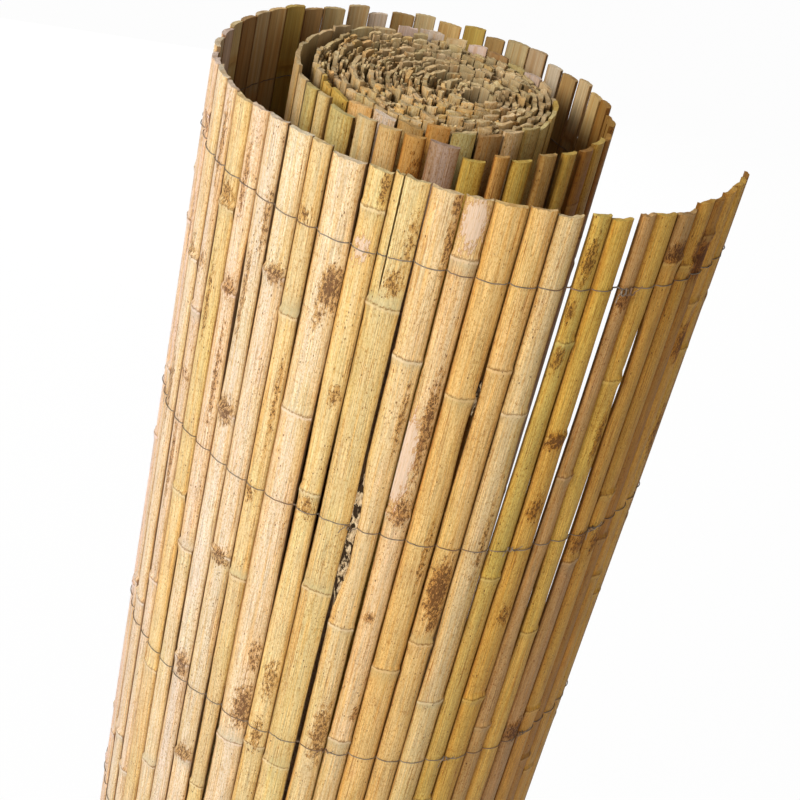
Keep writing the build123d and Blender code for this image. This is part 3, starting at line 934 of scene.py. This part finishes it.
def end_looks():
    """The sawn ends: tan with darker pores and saw marks."""
    look = Looks("reed_end")
    tone = look.read("tone")
    place_at = look.add("ShaderNodeTexCoord", {}, "Object")
    grain = look.noise(place_at, (900.0, 900.0, 200.0), 4.0, 0.6)
    patch = look.noise(place_at, (160.0, 160.0, 40.0), 3.0)
    pores = look.add("ShaderNodeTexVoronoi", {"Vector": place_at, "Scale": 1500.0})
    colour = look.scale(tone, look.shades(look.between(grain, 0.3, 0.7, 0.72, 1.08)))
    colour = look.tinge(colour, patch, 0.47, 0.64, 0.6, tone, (0.60, 0.46, 0.30))
    colour = look.tinge(colour, pores, 0.30, 0.12, 0.5, tone, (0.45, 0.32, 0.20))
    return look.finish(colour, look.between(grain, 0.3, 0.7, 0.75, 0.92), look.bump(grain, 0.8, 0.0004), 0.2)


def wire_looks():
    """Dull galvanised wire with a little rust."""
    look = Looks("binding_wire")
    place_at = look.add("ShaderNodeTexCoord", {}, "Object")
    worn = look.noise(place_at, (300.0, 300.0, 300.0), 4.0, 0.6)
    rust = look.noise(place_at, (60.0, 60.0, 60.0), 3.0)
    colour = look.mix(look.between(worn, 0.35, 0.65), (0.11, 0.08, 0.055), (0.27, 0.22, 0.165))
    colour = look.mix(look.between(rust, 0.48, 0.64, 0.0, 0.8), colour, (0.20, 0.105, 0.05))
    look.shader.inputs["Metallic"].default_value = 0.2
    return look.finish(colour, look.between(worn, 0.3, 0.7, 0.42, 0.65), look.bump(worn, 0.4, 0.0001))


reed_materials = [skin_looks(), hollow_looks(), end_looks()]
tones = {}
for reed in range(OPEN_REEDS):
    if reed < FRONT_REEDS:
        tones[reed] = FRONT_TONES[reed]
    else:
        tones[reed] = OTHER_TONES.get(reed, BACK_TONES[reed * 5 % len(BACK_TONES)])

# Depth down to which the rings lie close: what the photo shows in front, and the tops elsewhere
FRONT_FINE, OTHER_FINE = 430.0, 90.0
front = open_reeds("reeds_front", range(FRONT_REEDS), FRONT_FINE, tones, reed_materials)
back = open_reeds("reeds_back", range(FRONT_REEDS, BOUND_REEDS), OTHER_FINE, tones, reed_materials)
second = open_reeds("reeds_second", range(BOUND_REEDS, OPEN_REEDS), OTHER_FINE, tones, reed_materials)
for piece in (front, back, second):
    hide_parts("loose_reeds")
core = core_reeds("reeds_core", range(OPEN_REEDS, reed_count), reed_materials)
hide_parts("rolled_reeds")

# Torn fibres in the gaps: reed edge, depth, half length, width and shift to the free end in millimetres
FRAYS = ((15, 203, 42, 5.4, 1.6), (12, 103, 9, 1.5, 0.0))
FRAY_COLUMNS, FRAY_STEP = 6, 1.6
# Width of their tips as a share, wobble of their strands, and height of their front and back
FRAY_TIP, FRAY_WOBBLE, FRAY_FRONT, FRAY_ROUGH, FRAY_BACK = 0.25, 0.35, 1.5, 0.6, 0.3
FRAY_PLACE = 30


def fray_looks():
    """Torn fibre: pale strands over near-black patches, painted shade standing for holes that show the dark
    gap behind.
    """
    look = Looks("torn_fibre")
    place_at = look.read("reed_place", "Vector")
    strand = look.noise(place_at, (0.7, 0.30, 0.0), 5.0, 0.7)
    hole = look.noise(place_at, (0.30, 0.13, 0.0), 4.0, 0.6)
    colour = look.mix(look.between(strand, 0.35, 0.62), (0.30, 0.19, 0.09), (0.72, 0.55, 0.34))
    # Painted shade: near-black patches where holes in the fibres would show the dark gap behind
    colour = look.mix(look.between(hole, 0.47, 0.53), colour, (0.035, 0.020, 0.010))
    rough, normal = look.between(strand, 0.3, 0.7, 0.75, 0.92), look.bump(strand, 0.9, 0.0008)
    return look.finish(colour, rough, normal, 0.1)


def torn_fibres(name, material):
    """Ragged strips of fibre that stand in the torn gaps, closed at the back."""
    points, faces, places = [], [], []
    columns, step = FRAY_COLUMNS, FRAY_STEP
    for line, depth, half_length, width, shift in FRAYS:
        rng = np.random.default_rng(FRAY_SEED + line)
        point, heading, _ = edges[line]
        tangent, normal = directions(heading, 3)
        centre = np.array([*(np.array(point) - plan_middle), SCREEN_HEIGHT - depth])
        along_it = np.arange(-half_length, half_length + step, step)
        shares = np.linspace(-0.5, 0.5, columns)
        start = sum(len(block) for block in points)
        for side in (1, 0):
            for row, distance in enumerate(along_it):
                taper = max(FRAY_TIP, 1 - (distance / half_length) ** 4)
                if side:
                    wobble = rng.uniform(-0.5, 0.5, columns) + 0.7 * math.sin(row * 0.9) * np.abs(shares) * 2
                    level = FRAY_FRONT + FRAY_ROUGH * rng.uniform(-1, 1, columns)
                else:
                    wobble, level = np.zeros(columns), np.full(columns, FRAY_BACK)
                x = shift + shares * width * taper + wobble * FRAY_WOBBLE
                at_row = centre + np.array([0, 0, -distance])
                points.append(at_row + x[:, None] * tangent + level[:, None] * normal)
                place_at = (shares * width + FRAY_PLACE * line, np.full(columns, distance), np.zeros(columns))
                places.append(np.stack(place_at, axis=1))
        rows = len(along_it)
        front, back = (start + np.arange(2 * rows * columns)).reshape(2, rows, columns).tolist()
        for row in range(rows - 1):
            for k in range(columns - 1):
                faces.append((front[row][k], front[row][k + 1], front[row + 1][k + 1], front[row + 1][k]))
                faces.append((back[row][k], back[row + 1][k], back[row + 1][k + 1], back[row][k + 1]))
            for k, order in ((0, 1), (columns - 1, -1)):
                faces.append((front[row][k], front[row + 1][k], back[row + 1][k], back[row][k])[::order])
        for row, order in ((0, -1), (rows - 1, 1)):
            for k in range(columns - 1):
                faces.append((front[row][k], front[row][k + 1], back[row][k + 1], back[row][k])[::order])
    piece = mesh_object(name, np.concatenate(points), faces, [material], np.zeros(len(faces)),
                        {"reed_place": ("FLOAT_VECTOR", np.concatenate(places))})
    return piece


torn_fibres("torn_fibres", fray_looks())

# Binding wires: a strand over the round faces and one behind, twisted round each other in every gap
WIRE_RADIUS = 0.27
WIRE_SIDES = 6
WIRE_SHARES = np.array([0.9, 0.7, 0.45, 0.15, -0.15, -0.45, -0.7, -0.9])
WIRE_SAG, WIRE_WOBBLE, WIRE_SLOPE = 1.3, 0.25, 0.6
OVER_LIFT, UNDER_LIFT = WIRE_SEAT + WIRE_RADIUS * 0.9, -WIRE_RADIUS - 0.15
UNDER_RAISE = 0.6
TWIST_SINK, TWIST_OUT, TWIST_UP, TWIST_LENGTH = 0.9, 0.55, 0.75, 0.4
UP = np.array([0.0, 0.0, 1.0])
all_reeds = [OpenReed(reed) for reed in range(BOUND_REEDS)]


def tube(path, radius, points, faces):
    """Adds a round tube along a path of points, closed at both ends."""
    path = np.asarray(path)
    ahead = np.gradient(path, axis=0)
    ahead /= np.linalg.norm(ahead, axis=1)[:, None]
    side = np.cross(ahead, UP)
    side /= np.linalg.norm(side, axis=1)[:, None]
    other = np.cross(side, ahead)
    angles = np.arange(WIRE_SIDES) * 2 * math.pi / WIRE_SIDES
    rings = (path[:, None] + radius * (np.cos(angles)[None, :, None] * side[:, None]
                                       + np.sin(angles)[None, :, None] * other[:, None]))
    start = sum(len(block) for block in points)
    points.append(rings.reshape(-1, 3))
    for ring in range(len(path) - 1):
        for k in range(WIRE_SIDES):
            after = (k + 1) % WIRE_SIDES
            low, high = start + ring * WIRE_SIDES, start + (ring + 1) * WIRE_SIDES
            faces.append((low + k, high + k, high + after, low + after))
    faces.append([start + k for k in range(WIRE_SIDES)])
    faces.append([start + (len(path) - 1) * WIRE_SIDES + k for k in reversed(range(WIRE_SIDES))])


def wire_paths(row):
    """The strands of a wire row, in millimetres."""
    rng = np.random.default_rng(WIRE_SEED + row)
    sag = smooth_noise(rng, 1, BOUND_REEDS + 2.0, 2.5)
    levels = wire_heights[row] + WIRE_SAG * sag(np.arange(BOUND_REEDS + 1) + 0.5)[0]
    outside, inside = [], []
    for number, reed in enumerate(all_reeds):
        level, next_level = levels[number:number + 2]
        heights = level + (next_level - level) * (1 - WIRE_SHARES) / 2 * WIRE_SLOPE
        heights = heights + rng.uniform(-WIRE_WOBBLE, WIRE_WOBBLE, len(WIRE_SHARES))
        over = reed.strand(level, WIRE_SHARES, OVER_LIFT)
        over[:, 2] = heights
        under = reed.strand(level, WIRE_SHARES, UNDER_LIFT, outer=False)
        under[:, 2] = heights + UNDER_RAISE
        outside.extend(over)
        inside.extend(under)
        if number + 1 < len(all_reeds):
            before = reed.strand(level, WIRE_SHARES[-1:])[0]
            after = all_reeds[number + 1].strand(next_level, WIRE_SHARES[:1])[0]
            _, normal = directions(edges[number + 1][1], 3)
            centre = (before + after) / 2 - normal * TWIST_SINK
            for share in (-0.5, 0.0, 0.5):
                angle = math.pi * (share * 2 + 0.5)
                swirl = normal * math.sin(angle) * TWIST_OUT + UP * math.cos(angle) * TWIST_UP
                step = (after - before) * share * TWIST_LENGTH
                outside.append(centre + step + swirl)
                inside.append(centre + step - swirl)
    return np.array(outside), np.array(inside)


def soften(path):
    """The path with its corners cut."""
    first, second = path[:-1] * 0.75 + path[1:] * 0.25, path[:-1] * 0.25 + path[1:] * 0.75
    return np.concatenate([path[:1], np.stack([first, second], axis=1).reshape(-1, 3), path[-1:]])


def knot(row, line, shift, turns, reach, points, faces):
    """A tie beside a gap: a few wraps round the strand and two cut ends that stand off."""
    point, heading, _ = edges[line]
    rng = np.random.default_rng(KNOT_SEED + 10 * row + line)
    tangent, normal = directions(heading, 3)
    stand_off, wrap_height, thickness = (2.4, 2.0, 1.5) if shift else (1.5, 1.3, 0.9)
    centre = np.array([*(np.array(point) - plan_middle), wire_heights[row]]) + shift * tangent
    centre = centre + normal * (EDGE_THICKNESS + stand_off)
    angle = np.linspace(0, 2 * math.pi * turns, int(turns * 9))
    travel = np.linspace(-reach, reach, len(angle))
    coil = (centre + travel[:, None] * tangent + np.cos(angle)[:, None] * normal * 0.9
            + np.sin(angle)[:, None] * UP * wrap_height)
    tube(coil, WIRE_RADIUS * thickness, points, faces)
    for side in (-1, 1):
        tip = side * rng.uniform(2.5, 4.5)
        bend = np.array([centre + side * reach * tangent + normal * 0.6,
                         centre + side * (reach + 1.5) * tangent + normal * 1.3 + UP * side * 1.4,
                         centre + side * (reach + 2.4) * tangent + normal * 2.0 + UP * tip])
        tube(soften(bend), WIRE_RADIUS * 0.85, points, faces)


# Ties by wire row: reed edge, shift along the wire, wraps, half length
KNOTS = {6: ((8, 5.0, 3, 4.0),),
         5: ((9, 0.0, 2, 2.5), (5, 0.0, 3, 3.0), (15, 0.0, 2, 2.0)),
         4: ((14, 0.0, 2, 2.5), (9, 0.0, 2, 2.0), (5, 0.0, 3, 3.0))}
wire_material = wire_looks()
for row in range(WIRE_ROWS):
    wire_points, wire_faces = [], []
    for strand in wire_paths(row):
        tube(soften(strand), WIRE_RADIUS, wire_points, wire_faces)
    for line, shift, turns, reach in KNOTS.get(row, ()):
        knot(row, line, shift, turns, reach, wire_points, wire_faces)
    wire = mesh_object(f"wire_row_{row + 1}", np.concatenate(wire_points), wire_faces, [wire_material],
                       np.zeros(len(wire_faces)))
    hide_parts(f"binding_wire_{row + 1}")

# Floor, light and camera
floor_mesh = bpy.data.meshes.new("floor")
FLOOR_HALF = 8
floor_corners = [(x * FLOOR_HALF, y * FLOOR_HALF, 0) for x, y in ((-1, -1), (1, -1), (1, 1), (-1, 1))]
floor_mesh.from_pydata(floor_corners, [], [(0, 1, 2, 3)])
floor = bpy.data.objects.new("floor", floor_mesh)
bpy.context.scene.collection.objects.link(floor)


def show_white(look, plain, kind, share, output):
    """Shows white to the camera and through glass, and the plain shader to all other rays."""
    rays = look.add("ShaderNodeLightPath", {}).node
    seen = look.math("MAXIMUM", rays.outputs["Is Camera Ray"], rays.outputs["Is Transmission Ray"])
    white = look.add(kind, {"Color": (1, 1, 1, 1), "Strength": 1.0})
    both = look.add("ShaderNodeMixShader", {0: look.times(seen, share), 1: plain, 2: white})
    look.put(look.tree.nodes[output].inputs["Surface"], both)


look = Looks("floor")
look.shader.inputs["Base Color"].default_value = (0.86, 0.86, 0.86, 1)
look.shader.inputs["Roughness"].default_value = 0.9
show_white(look, look.shader.outputs[0], "ShaderNodeEmission", 0.975, "Material Output")
floor_mesh.materials.append(look.owner)

scene = bpy.context.scene
studio = Looks("studio", "worlds")
scene.world = studio.owner
ambient = studio.tree.nodes["Background"]
ambient.inputs["Color"].default_value = (1.0, 0.97, 0.92, 1)
ambient.inputs["Strength"].default_value = 0.15
show_white(studio, ambient.outputs[0], "ShaderNodeBackground", 1.0, "World Output")


def lamp(name, place_at, aim, size, power, colour):
    """A square soft light that faces a point, in metres."""
    light = bpy.data.lights.new(name, "AREA")
    light.shape, light.size, light.energy, light.color = "SQUARE", size, power, colour
    holder = bpy.data.objects.new(name, light)
    holder.location = place_at
    holder.rotation_mode = "QUATERNION"
    holder.rotation_quaternion = (Vector(aim) - Vector(place_at)).to_track_quat("-Z", "Y")
    scene.collection.objects.link(holder)


lamp("key", (-1.65, -1.9, 2.45), (0, 0, 0.80), 1.2, 92.0, (1.0, 0.985, 0.95))
lamp("side", (-2.4, -0.3, 1.6), (0, 0, 0.75), 1.4, 13.0, (1.0, 0.985, 0.95))
lamp("fill", (1.1, -2.4, 1.5), (0, 0, 0.75), 1.8, 23.5, (1.0, 0.97, 0.90))
lamp("back", (-0.7, 2.4, 0.7), (0, 0, 0.5), 1.6, 38.0, (1.0, 0.98, 0.95))

camera = bpy.data.objects.new("camera", bpy.data.cameras.new("camera"))
camera.data.sensor_width = 36.0
camera.data.lens = 71.25
camera.data.clip_start = 0.02
camera.matrix_world = (Matrix.Translation((0.02112, -0.74566, 1.28890))
                       @ Matrix.Rotation(math.radians(1.961), 4, "Z")
                       @ Matrix.Rotation(math.radians(90 - 32.226), 4, "X")
                       @ Matrix.Rotation(math.radians(13.986), 4, "Z"))
scene.collection.objects.link(camera)
scene.camera = camera
scene.view_settings.view_transform = "Standard"
